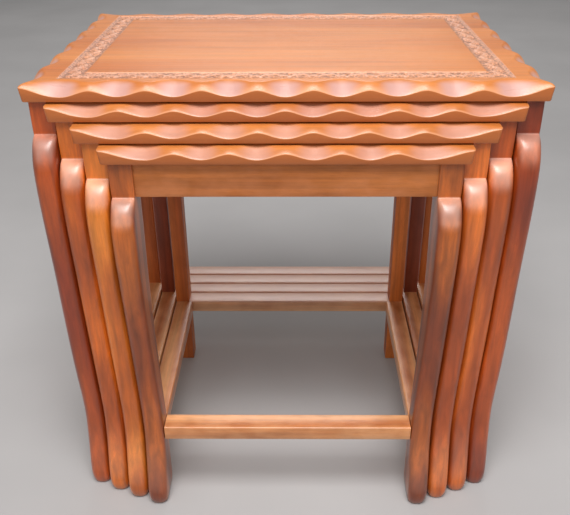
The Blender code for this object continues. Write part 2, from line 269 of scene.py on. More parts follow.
class Sheet:
    """A material's node sheet, filled node by node."""

    def __init__(self, name: str) -> None:
        """Starts an empty sheet.

        Args:
            name: the material's name.
        """
        self.material = bpy.data.materials.new(name)
        self.material.use_nodes = True
        self.tree = self.material.node_tree
        self.tree.nodes.clear()

    def add(self, kind: str, inputs: dict[str | int, object] | None = None,
            **settings: object) -> bpy.types.Node:
        """Adds a node.

        Args:
            kind: the node's type, without its ShaderNode prefix.
            inputs: values or sockets for its inputs, by name or number.
            settings: the node's own settings.

        Returns:
            The node.
        """
        node = self.tree.nodes.new("ShaderNode" + kind)
        for key, value in settings.items():
            setattr(node, key, value)
        for key, value in (inputs or {}).items():
            if isinstance(value, bpy.types.NodeSocket):
                self.tree.links.new(value, node.inputs[key])
            else:
                node.inputs[key].default_value = value
        return node

    def maths(self, operation: str, *values: object) -> bpy.types.NodeSocket:
        """Adds a Math node.

        Args:
            operation: what it does.
            values: numbers or sockets.

        Returns:
            Its output.
        """
        return self.add("Math", dict(enumerate(values)), operation=operation).outputs[0]

    def ramp(self, value: bpy.types.NodeSocket, low: float, high: float, to_low: float = 0.0,
             to_high: float = 1.0) -> bpy.types.NodeSocket:
        """Maps a range of values to another, clamped.

        Args:
            value: the socket to map.
            low: its low end.
            high: its high end.
            to_low: what the low end becomes.
            to_high: what the high end becomes.

        Returns:
            The mapped value.
        """
        inputs = {"Value": value, "From Min": low, "From Max": high, "To Min": to_low,
                  "To Max": to_high}
        return self.add("MapRange", inputs).outputs["Result"]

    def mix(self, share: object, first: object, second: object,
            blend: str = "MIX") -> bpy.types.NodeSocket:
        """Mixes two colours.

        Args:
            share: how much of the second.
            first: a colour or a socket.
            second: a colour or a socket.
            blend: the blend mode.

        Returns:
            The mixed colour.
        """
        def full(colour: object) -> object:
            """Gives a plain colour its alpha."""
            return (*colour, 1.0) if isinstance(colour, tuple) else colour

        inputs = {0: share, 6: full(first), 7: full(second)}
        return self.add("Mix", inputs, data_type="RGBA", blend_type=blend).outputs[2]

    def shade(self, value: bpy.types.NodeSocket, colour: object) -> bpy.types.NodeSocket:
        """Multiplies a colour by a brightness.

        Args:
            value: the brightness.
            colour: a colour or a socket.

        Returns:
            The shaded colour.
        """
        grey = self.add("CombineColor", {0: value, 1: value, 2: value}).outputs[0]
        return self.mix(1.0, colour, grey, "MULTIPLY")

    def upward(self) -> bpy.types.NodeSocket:
        """How far the surface faces up, from -1 to 1."""
        facing = self.add("TexCoord").outputs["Normal"]
        return self.add("SeparateXYZ", {0: facing}).outputs["Z"]

    def noise(self, vector: bpy.types.NodeSocket, scale: Point, detail: float,
              distortion: float = 0.0) -> bpy.types.NodeSocket:
        """Noise that is stretched by its own scale along each axis.

        Args:
            vector: the coordinates, with the grain along X.
            scale: repeats a metre along each axis.
            detail: how much fine detail.
            distortion: how much it swirls.

        Returns:
            A value from 0 to 1.
        """
        stretched = self.add("Mapping", {"Vector": vector, "Scale": scale}).outputs[0]
        inputs = {"Vector": stretched, "Scale": 1.0, "Detail": detail, "Distortion": distortion}
        return self.add("TexNoise", inputs).outputs[0]


@dataclass(frozen=True)
class Varnish:
    """A varnished hardwood: its colours, figure, rubbed and highlit arrises, coat and roughness, and a
    painted highlight on its upward faces.
    """

    light: Colour
    middle: Colour
    dark: Colour
    mottle: float = 0.5
    grain_contrast: float = 0.5
    roughness: float = 0.36
    coat: float = 0.60
    wear_and_highlight: float = 0.35
    figure: float = 0.35
    painted_highlight: float = 0.0

    def brush(self, name: str, grain: Grain, seed: int, carved: bool = False) -> bpy.types.Material:
        """Makes the node material for one piece.

        Args:
            name: the material's name.
            grain: the way the grain runs.
            seed: moves the figure, so that no two pieces are alike.
            carved: whether the piece holds the carver's attributes.

        Returns:
            The material.
        """
        sheet = Sheet(name)
        place = sheet.add("TexCoord").outputs["Object"]
        luck = random.Random(seed)
        moved = [luck.uniform(-9.0, 9.0) for _ in range(3)]
        turned = {"Vector": place, "Location": moved, "Rotation": grain.value}
        along = sheet.add("Mapping", turned).outputs[0]

        clouds = sheet.noise(along, (2.2, 13.0, 13.0), 2.0, 0.6)
        streaks = sheet.noise(along, (5.0, 170.0, 170.0), 4.0, 0.15)
        lines = sheet.noise(along, (9.0, 620.0, 620.0), 2.0)
        mottles = sheet.noise(along, (20.0, 110.0, 110.0), 4.0, 0.8)
        pores = sheet.noise(along, (90.0, 1700.0, 1700.0), 1.0)
        rings = self.rings(sheet, along)

        share = sheet.maths("MULTIPLY", clouds, 1.0 - self.figure)
        tone = sheet.maths("MULTIPLY_ADD", rings, self.figure, share)
        colour = sheet.mix(sheet.ramp(tone, 0.32, 0.50), self.dark, self.middle)
        colour = sheet.mix(sheet.ramp(tone, 0.48, 0.68), colour, self.light)
        shade = sheet.ramp(streaks, 0.30, 0.70, 1.0 - 0.55 * self.grain_contrast, 1.12)
        colour = sheet.shade(shade, colour)
        shade = sheet.ramp(mottles, 0.30, 0.70, 1.0 - 0.50 * self.mottle, 1.0 + 0.32 * self.mottle)
        colour = sheet.shade(shade, colour)
        fleck = sheet.ramp(pores, 0.60, 0.70)
        colour = sheet.mix(sheet.maths("MULTIPLY", fleck, 0.30), colour, self.dark)
        colour = sheet.mix(sheet.ramp(lines, 0.55, 0.80, 0.0, 0.28), colour, self.dark)

        # Painted highlight: the upward faces are painted pale pink, as the sky's sheen on the varnish
        # would make them.
        if self.painted_highlight:
            painted_highlight_share = sheet.maths("MULTIPLY", sheet.ramp(sheet.upward(), 0.10, 0.62), self.painted_highlight)
            colour = sheet.mix(painted_highlight_share, colour, UPWARD_HIGHLIGHT_PAINT)
        # Rubbed varnish on the arrises, painted paler: partly real wear, partly a painted highlight.
        wear_and_highlight_share = self.edge_wear_and_highlight(sheet, along)
        colour = sheet.mix(wear_and_highlight_share, colour, tuple(min(1.0, 1.25 * part + 0.10) for part in self.light))
        rough = sheet.ramp(mottles, 0.2, 0.8, self.roughness - 0.06, self.roughness + 0.08)
        rough = sheet.maths("MULTIPLY_ADD", fleck, 0.12, rough)
        if carved:
            colour, rough = self.carver(sheet, along, colour, rough)

        height = sheet.maths("MULTIPLY_ADD", fleck, -0.55, sheet.maths("MULTIPLY", lines, 0.35))
        bump = sheet.add("Bump", {"Height": height, "Strength": 0.35, "Distance": 0.00025})
        wavy = sheet.noise(along, (12.0, 30.0, 30.0), 1.0)
        bump = sheet.add("Bump", {"Height": wavy, "Strength": 0.30, "Distance": 0.0012,
                                  "Normal": bump.outputs[0]})
        inputs = {"Base Color": colour, "Roughness": rough, "Normal": bump.outputs[0],
                  "Coat Weight": self.coat, "Coat Roughness": 0.30, "IOR": 1.5}
        shader = sheet.add("BsdfPrincipled", inputs)
        sheet.add("OutputMaterial", {"Surface": shader.outputs[0]})
        return sheet.material

    def rings(self, sheet: Sheet, along: bpy.types.NodeSocket) -> bpy.types.NodeSocket:
        """The growth rings, drawn out along the board.

        Args:
            sheet: the node sheet.
            along: coordinates with the grain along X.

        Returns:
            A value from 0 to 1.
        """
        scaled = sheet.add("Mapping", {"Vector": along, "Scale": (0.9, 11.0, 11.0)}).outputs[0]
        inputs = {"Vector": scaled, "Scale": 1.0, "Distortion": 5.5, "Detail": 3.0,
                  "Detail Scale": 0.9}
        wave = sheet.add("TexWave", inputs, bands_direction="Y", wave_profile="SIN")
        return wave.outputs["Fac"]

    def edge_wear_and_highlight(self, sheet: Sheet, along: bpy.types.NodeSocket) -> bpy.types.NodeSocket:
        """Where the varnish has rubbed thin along the arrises and is painted paler, which also paints a
        highlight along them.

        Args:
            sheet: the node sheet.
            along: coordinates with the grain along X.

        Returns:
            A share from 0 to 1.
        """
        sharp = sheet.add("NewGeometry").outputs["Pointiness"]
        edges = sheet.ramp(sharp, 0.515, 0.60)
        patchy = sheet.ramp(sheet.noise(along, (40.0, 60.0, 60.0), 3.0), 0.35, 0.65)
        return sheet.maths("MULTIPLY", sheet.maths("MULTIPLY", edges, patchy), self.wear_and_highlight)

    def carver(self, sheet: Sheet, along: bpy.types.NodeSocket, colour: bpy.types.NodeSocket,
               rough: bpy.types.NodeSocket) -> tuple[bpy.types.NodeSocket, bpy.types.NodeSocket]:
        """Paints a reflection into the scoops, a highlight along the arris and shade into the incised
        line round the band; deepens the side faces towards orange, pales the carved leaves, and darkens
        the ground between the leaves.

        Args:
            sheet: the node sheet.
            along: coordinates with the grain along X.
            colour: the wood's colour so far.
            rough: its roughness so far.

        Returns:
            The new colour and roughness.
        """
        scoop, leaf, ground = (sheet.add("Attribute", attribute_name=mark).outputs["Fac"]
                               for mark in CARVER_MARKS)
        up = sheet.upward()
        side = sheet.ramp(up, 0.10, 0.35, 1.0, 0.0)
        colour = sheet.mix(sheet.maths("MULTIPLY", side, 0.65), colour, EDGE_ORANGE)
        # Painted reflection: the upward-tilted scoops are painted pale, as the sky's reflection would
        # make them; the lamps give the rest.
        scoop = sheet.maths("MULTIPLY", scoop, sheet.ramp(up, 0.25, 0.60))
        colour = sheet.mix(sheet.maths("MULTIPLY", scoop, 0.80), colour, SCOOP_PAINTED_REFLECTION)
        # Painted highlight: a pale line along the arris, where the rounded edge turns from the top to
        # the side.
        rim = sheet.maths("MULTIPLY", sheet.ramp(up, 0.15, 0.35), sheet.ramp(up, 0.62, 0.74, 1.0, 0.0))
        colour = sheet.mix(sheet.maths("MULTIPLY", rim, 0.45), colour, ARRIS_PAINTED_HIGHLIGHT)
        worked = sheet.maths("MULTIPLY_ADD", ground, 0.75, leaf)
        colour = sheet.mix(sheet.maths("MULTIPLY", worked, 0.75), colour, LEAF_PALE)
        speck = sheet.ramp(sheet.noise(along, (340.0, 420.0, 420.0), 2.0), 0.40, 0.54, 0.10, 1.00)
        fine = sheet.maths("MULTIPLY", sheet.maths("MULTIPLY_ADD", leaf, 0.30, ground), speck)
        # Painted shade: the incised line round the band is painted dark, where the groove holds shadow.
        line = sheet.maths("MULTIPLY", sheet.ramp(ground, 0.80, 0.98), 0.75)
        colour = sheet.mix(sheet.maths("MAXIMUM", fine, line), colour, GROUND_DARK)
        rough = sheet.maths("MULTIPLY_ADD", ground, 0.25, rough)
        return colour, sheet.maths("MULTIPLY_ADD", scoop, -0.06, rough)


CARVER_MARKS = ("scoop", "leaf", "ground")

# Painted highlight colour for upward faces.
UPWARD_HIGHLIGHT_PAINT: Colour = (0.84, 0.52, 0.40)
EDGE_ORANGE: Colour = (0.480, 0.125, 0.028)
# Painted reflection colour for the scoops.
SCOOP_PAINTED_REFLECTION: Colour = (0.56, 0.340, 0.310)
# Painted highlight colour for the arris line.
ARRIS_PAINTED_HIGHLIGHT: Colour = (0.84, 0.42, 0.23)
LEAF_PALE: Colour = (0.80, 0.50, 0.38)
# Dark of the carved ground's specks, also the painted shade in the incised line.
GROUND_DARK: Colour = (0.100, 0.040, 0.024)

TOP_WOOD = Varnish((0.574, 0.205, 0.049), (0.533, 0.176, 0.038), (0.467, 0.137, 0.028), 0.12, 0.20,
                   coat=0.10, figure=0.08)
APRON_WOOD = Varnish((0.56, 0.175, 0.034), (0.47, 0.130, 0.024), (0.33, 0.078, 0.014), 0.25, 0.45,
                     coat=0.15)
BACK_LEG_WOOD = Varnish((0.657, 0.181, 0.030), (0.519, 0.123, 0.020), (0.323, 0.065, 0.012), 0.3,
                        roughness=0.50, coat=0.05)
BACK_LEG_RED = Varnish((0.468, 0.108, 0.026), (0.351, 0.070, 0.018), (0.208, 0.035, 0.010), 0.35,
                       roughness=0.50, coat=0.05)
STRETCHER_WOOD = Varnish((0.748, 0.348, 0.136), (0.627, 0.234, 0.071), (0.462, 0.138, 0.034), 0.25, 0.45,
                         coat=0.70)
# Painted light: a paler copy of the stretcher wood with a strong painted highlight, standing in for the
# sky's light and sheen on the back stretchers.
BACK_STRETCHER_PAINTED_SKYLIGHT = Varnish((0.80, 0.42, 0.20), (0.69, 0.31, 0.13), (0.53, 0.20, 0.07), 0.25, 0.45,
                              coat=0.70, painted_highlight=0.85)
# Leg woods: their painted highlight pales the knees' shoulders and the toes' upward faces.
LEG_RED_BROWN = Varnish((0.520, 0.094, 0.010), (0.400, 0.064, 0.006), (0.250, 0.033, 0.005), 0.45,
                        painted_highlight=0.32)
LEG_BROWN = Varnish((0.732, 0.176, 0.014), (0.561, 0.114, 0.009), (0.366, 0.063, 0.007), 0.50,
                    painted_highlight=0.55)
LEG_GOLDEN = Varnish((0.850, 0.260, 0.029), (0.720, 0.185, 0.019), (0.531, 0.115, 0.010), 0.40,
                     painted_highlight=0.55)
LEG_DARK = Varnish((0.500, 0.120, 0.013), (0.370, 0.077, 0.008), (0.220, 0.039, 0.006), 0.60,
                   painted_highlight=0.42)
LEG_ORANGE = Varnish((0.736, 0.175, 0.022), (0.575, 0.115, 0.014), (0.391, 0.068, 0.008), 0.45,
                     painted_highlight=0.55)

LEG_WOODS = {
    1: {Side.LEFT: LEG_RED_BROWN, Side.RIGHT: LEG_RED_BROWN},
    2: {Side.LEFT: LEG_BROWN, Side.RIGHT: LEG_ORANGE},
    3: {Side.LEFT: LEG_GOLDEN, Side.RIGHT: LEG_ORANGE},
    4: {Side.LEFT: LEG_DARK, Side.RIGHT: LEG_DARK},
}


# ---------------- scalloped tops


@dataclass
class Gouge:
    """The scoops along one edge of a top, each a little different, as cut by hand."""

    length: float
    corner_drop: float
    seed: int
    ridge_fall: float = 0.0034
    valley_fall: float = 0.0100
    ridge_reach: float = 0.0100
    valley_reach: float = 0.0180
    corner_ease: float = 0.0015
    painted_reflection: float = 1.0

    def __post_init__(self) -> None:
        """Sets each scoop's middle and depth."""
        count = int((self.length - 2 * SCALLOP_END) / SCALLOP_PITCH) + 1
        luck = random.Random(self.seed)
        first = -(count - 1) / 2 * SCALLOP_PITCH
        self.middles = [first + at * SCALLOP_PITCH + luck.uniform(-0.0012, 0.0012)
                        for at in range(count)]
        self.depths = [1 + luck.uniform(-0.06, 0.03) for _ in range(count)]

    def share(self, place: float) -> tuple[float, float, float]:
        """Reads the wave of the arris.

        Args:
            place: distance along the edge from its middle.

        Returns:
            How far down the wave is, from 0 on a ridge to 1 in a valley, the scoop's own depth,
            and how near a corner the place is, from 0 to 1.
        """
        for way, end in ((-1, 0), (1, -1)):
            beyond = way * place - way * self.middles[end]
            if beyond >= 0:
                past = min(beyond / (self.length / 2 - way * self.middles[end]), 1.0)
                return (1 + math.cos(math.pi * past)) / 2, self.depths[end], past
        for at, (low, high) in enumerate(zip(self.middles, self.middles[1:])):
            if place <= high:
                turn = (place - low) / (high - low)
                depth = self.depths[at] * (1 - turn) + self.depths[at + 1] * turn
                return (1 + math.cos(2 * math.pi * turn)) / 2, depth, 0.0
        return 0.0, 1.0, 0.0

    def read(self, place: float, inward: float) -> tuple[float, float]:
        """The depth of the scooped surface, and its painted reflection: its share of a scoop's hollow,
        scaled by how strongly the edge paints its scoops pale.

        Args:
            place: distance along the edge from its middle.
            inward: distance from the edge.

        Returns:
            The depth under the top face, and a share from 0 to 1.
        """
        wave, deep, corner = self.share(place)
        wave = wave ** 0.85
        low = self.ridge_fall * (1 - ease(0.0, 1.0, corner))
        fall = low + (self.valley_fall * deep - low) * wave
        drop = self.corner_drop + fall
        near = self.corner_drop + self.corner_ease
        ridge = self.ridge_reach + (near - self.ridge_reach) * ease(0.0, 1.0, corner)
        reach = ridge + (self.valley_reach - ridge) * wave
        if inward >= reach:
            return 0.0, 0.0
        slope = 1 - inward / reach
        rounded = 1.0 + 0.9 * (1 - wave)
        lens = max(self.valley_reach * math.sqrt(wave), self.corner_ease)
        hollow = ease(0.12, 0.95, wave) * (1 - ease(0.62, 1.0, inward / lens))
        # The second value is the painted reflection: how pale this place of the scoop is painted.
        return drop * slope ** rounded, self.painted_reflection * hollow


@dataclass
class Vine:
    """A scroll of leaves in low relief along one side of the carved band."""

    width: float
    seed: int
    relief: float = 0.0015
    line_depth: float = 0.0005
    vein_depth: float = 0.00035
    wave: float = 0.031
    line: float = 0.0009
    stem: float = 0.0010
    swing: float = 0.27

    def read(self, along: float, across: float) -> tuple[float, float, float]:
        """The carving's depth at a place on the band.

        Args:
            along: distance along the band from its middle.
            across: distance from the band's middle line.

        Returns:
            The depth, and how much of the place is leaf and how much is ground.
        """
        rim = self.width / 2 - abs(across)
        if rim < 0:
            return 0.0, 0.0, 0.0
        cut = 1 - ease(self.line * 0.6, self.line * 1.6, rim)
        inside = ease(self.line * 1.6, self.line * 2.6, rim)
        leaf = self.leaves(along, across)
        ground = inside * (1 - leaf)
        depth = max(self.line_depth * cut, self.relief * ground)
        vein = self.veins(along, across) * leaf * inside
        depth += self.vein_depth * vein
        # The incised cut is marked full in the ground share, so the carver paints shade into it.
        return depth, leaf * inside * (1 - 0.8 * vein), max(0.75 * ground, cut)

    def leaves(self, along: float, across: float) -> float:
        """How much a place belongs to a leaf or the stem.

        Args:
            along: distance along the band from its middle.
            across: distance from the band's middle line.

        Returns:
            A share from 0 to 1.
        """
        turn = 2 * math.pi * along / self.wave
        best = abs(across - self.swing * self.width * math.sin(turn)) - self.stem
        half = self.wave / 2
        near = round(along / half)
        for at in (near - 1, near, near + 1):
            middle = at * half
            side = 1 if at % 2 else -1
            for offset, lean, long, wide in LEAF_SHAPES:
                best = min(best, self.leaf(along - middle - offset, side * across - 0.10 * self.width,
                                           lean, long, wide))
        return 1 - ease(-0.0005, 0.0006, best)

    def leaf(self, along: float, across: float, lean: float, long: float, wide: float) -> float:
        """Measures how far a place is outside one pointed leaf.

        Args:
            along: distance from the leaf's middle along the band.
            across: distance from it across the band.
            lean: the leaf's turn.
            long: its half length.
            wide: its half width.

        Returns:
            The distance, less than 0 inside the leaf.
        """
        x = along * math.cos(lean) + across * math.sin(lean)
        y = -along * math.sin(lean) + across * math.cos(lean)
        share = min(abs(x) / long, 1.2)
        lobes = 1 + 0.22 * math.sin(x * 2600)
        return abs(y) - wide * (1 - share * share) * lobes + max(0.0, abs(x) - long)

    def veins(self, along: float, across: float) -> float:
        """The fine cuts across the leaves.

        Args:
            along: distance along the band from its middle.
            across: distance from the band's middle line.

        Returns:
            A share from 0 to 1.
        """
        jitter = noise.noise((along * 90, across * 90, self.seed))
        return 0.5 + 0.5 * math.sin(2 * math.pi * ((along + 0.8 * abs(across)) / 0.0032 + jitter))


# (place along the stem, lean, half length, half width)
LEAF_SHAPES = (
    (0.0000, 0.50, 0.0076, 0.0026),
    (0.0058, -0.75, 0.0058, 0.0020),
    (-0.0064, 1.25, 0.0050, 0.0019),
)


@dataclass
class ScallopedTop:
    """One table's top board."""

    number: int
    grid: float
    arris: float = 0.0007
    corner_radius: float = 0.0024
    taper: float = 0.0015
    lower_round: float = 0.0014
    band_outer: tuple[float, float, float, float] = (0.036, 0.036, 0.0215, 0.024)
    band_width: float = 0.0260

    @property
    def node(self) -> str:
        """The CAD node that this stands for."""
        return f"table_{self.number}_top"

    @property
    def is_carved(self) -> bool:
        """Only the largest top has a carved band."""
        return self.number == 1

    def build(self) -> bpy.types.Object:
        """Models the board.

        Returns:
            The finished board.
        """
        self.low, self.high = (Vector(corner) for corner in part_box(self.node))
        if self.is_carved:
            self.low.x, self.high.x = -LARGEST_HALF_WIDTH, LARGEST_HALF_WIDTH
        self.middle = (self.low + self.high) / 2
        self.size = self.high - self.low
        corner_drop, painted_reflection = LARGEST_EDGE if self.is_carved else INNER_EDGE
        lengths = {"front": self.size.x, "back": self.size.x}
        if self.is_carved:
            lengths |= {"left": self.size.y, "right": self.size.y}
        self.gouges = {edge: Gouge(length, corner_drop, 10 * self.number + at, painted_reflection=painted_reflection)
                       for at, (edge, length) in enumerate(lengths.items(), 1)}
        piece = self.grid_sheet()
        self.carve(piece)
        self.close_panel(piece)
        self.drop_edges(piece)
        smooth(piece, 38)
        return piece

    def grid_sheet(self) -> bpy.types.Object:
        """A flat sheet fine enough to carve; carve rounds its corners in plan later."""
        deselect()
        steps = [max(8, round(side / self.grid)) for side in self.size[:2]]
        place = (self.middle.x, self.middle.y, self.high.z)
        bpy.ops.mesh.primitive_grid_add(x_subdivisions=steps[0], y_subdivisions=steps[1], size=1.0,
                                        location=place)
        piece = rename(bpy.context.object, f"{self.node}_board")
        piece.scale = (self.size.x, self.size.y, 1.0)
        bpy.ops.object.transform_apply(location=True, rotation=True, scale=True)
        return piece

    def round_corner(self, x: float, y: float) -> tuple[float, float]:
        """Moves a place near a corner so that the corner is round in plan.

        Args:
            x: its distance right of the board's middle.
            y: its distance behind the board's middle.

        Returns:
            The new x and y.
        """
        radius = self.corner_radius
        inner_x = self.size.x / 2 - radius
        inner_y = self.size.y / 2 - radius
        u = (abs(x) - inner_x) / radius
        v = (abs(y) - inner_y) / radius
        if u <= 0 or v <= 0:
            return x, y
        round_x = inner_x + radius * u * math.sqrt(1 - v * v / 2)
        round_y = inner_y + radius * v * math.sqrt(1 - u * u / 2)
        return math.copysign(round_x, x), math.copysign(round_y, y)

    def band(self, x: float, y: float) -> tuple[float, float, float]:
        """Reads the carved band.

        Args:
            x: the place's distance right of the board's middle.
            y: its distance behind the board's middle.

        Returns:
            The depth, and how much of the place is leaf and how much is ground.
        """
        left, right, front, back = self.band_outer
        half = self.band_width / 2
        wide, deep = self.size.x / 2, self.size.y / 2
        from_side = min(x + wide - left, wide - right - x)
        from_end = min(y + deep - front, deep - back - y)
        if min(from_side, from_end) < 0 or min(from_side, from_end) > self.band_width:
            return 0.0, 0.0, 0.0
        if from_side < from_end:
            return self.vines[0].read(y, from_side - half)
        return self.vines[1].read(x, from_end - half)

    def carve(self, piece: bpy.types.Object) -> None:
        """Cuts the scoops and the carved band, and notes where each is.

        Args:
            piece: the sheet.
        """
        wide, deep = self.size.x / 2, self.size.y / 2
        self.vines = (Vine(self.band_width, 3), Vine(self.band_width, 7))
        marks = {name: [] for name in CARVER_MARKS}
        for vert in piece.data.vertices:
            x, y = vert.co.x - self.middle.x, vert.co.y - self.middle.y
            places = {"front": (x, y + deep), "back": (-x, deep - y),
                      "left": (-y, x + wide), "right": (y, wide - x)}
            drop, hollow = max(gouge.read(*places[edge]) for edge, gouge in self.gouges.items())
            depth, leaf, ground = self.band(x, y) if self.is_carved and drop == 0 else (0.0, 0.0, 0.0)
            x, y = self.round_corner(x, y)
            vert.co = (x + self.middle.x, y + self.middle.y, self.high.z - drop - depth)
            for name, value in zip(CARVER_MARKS, (hollow, leaf, ground)):
                marks[name].append(value)
        for name, values in marks.items():
            layer = piece.data.attributes.new(name, "FLOAT", "POINT")
            layer.data.foreach_set("value", values)

    def close_panel(self, piece: bpy.types.Object) -> None:
        """Turns the flat middle of the sheet into one plain face.

        Args:
            piece: the carved sheet.
        """
        if self.is_carved:
            left, right, front, back = (side + self.band_width + RIM_MARGIN for side in self.band_outer)
        else:
            left = right = front = back = PANEL_MARGIN
        low = (self.low.x + left, self.low.y + front)
        high = (self.high.x - right, self.high.y - back)

        def is_middle(face: bmesh.types.BMFace) -> bool:
            """Tells whether a face lies wholly in the plain panel."""
            return all(low[0] < v.co.x < high[0] and low[1] < v.co.y < high[1] for v in face.verts)

        edit(piece, "FACE")
        pick(piece, "faces", is_middle)
        bpy.ops.mesh.delete(type="FACE")
        bpy.ops.mesh.select_mode(type="EDGE")

        def is_rim(edge: bmesh.types.BMEdge) -> bool:
            """Tells whether an edge is on the rim of the hole."""
            place = (edge.verts[0].co + edge.verts[1].co) / 2
            return (edge.is_boundary and low[0] - RIM_MARGIN < place.x < high[0] + RIM_MARGIN
                    and low[1] - RIM_MARGIN < place.y < high[1] + RIM_MARGIN)

        pick(piece, "edges", is_rim)
        bpy.ops.mesh.edge_face_add()
        close_edit()

    def drop_edges(self, piece: bpy.types.Object) -> None:
        """Draws the arris down to the underside, rounds the lower arris and closes the board.

        Args:
            piece: the carved sheet with its panel closed.
        """
        edit(piece, "EDGE")
        bpy.ops.mesh.select_all(action="SELECT")
        pick(piece, "edges", lambda edge: edge.is_boundary)
        first, last = 0.3 * self.lower_round, 0.7 * self.lower_round
        for rise, inward in ((self.lower_round, self.taper), (first, first), (0.0, last)):
            self.draw_down((self.middle.x, self.middle.y, self.low.z + rise), inward)
        bpy.ops.mesh.edge_face_add()
        self.soften_arris(piece)
        face_outward()
        close_edit()

    def draw_down(self, centre: Point, inward: float) -> None:
        """Extrudes the selected rim, flattens it at a height and draws it in.

        Args:
            centre: the middle of the new rim, at its height.
            inward: how far it comes in on each side.
        """
        bpy.ops.mesh.extrude_edges_move(TRANSFORM_OT_translate={"value": (0.0, 0.0, 0.0)})
        shrink = (1 - 2 * inward / self.size.x, 1 - 2 * inward / self.size.y, 0.0)
        bpy.ops.transform.resize(value=shrink, center_override=centre)

    def soften_arris(self, piece: bpy.types.Object) -> None:
        """Rounds the wavy arris a little, as handling does.

        Args:
            piece: the board, open in edit mode.
        """
        def is_arris(edge: bmesh.types.BMEdge) -> bool:
            """Tells whether an edge is between the carved face and the board's side."""
            if len(edge.link_faces) != 2:
                return False
            up = [face.normal.z for face in edge.link_faces]
            high = min(v.co.z for v in edge.verts) > self.low.z + 1.5 * self.lower_round
            return high and max(up) > 0.3 and min(up) < 0.3

        face_outward()
        pick(piece, "edges", is_arris)
        bpy.ops.mesh.bevel(offset=self.arris, segments=2, affect="EDGES", clamp_overlap=True)


# ---------------- curved front legs


@dataclass(frozen=True)
class Section:
    """One level of a leg: its height, front and back faces, and how sharp its front arrises are."""

    height: float
    front: float
    back: float
    inset: float
    arris: float


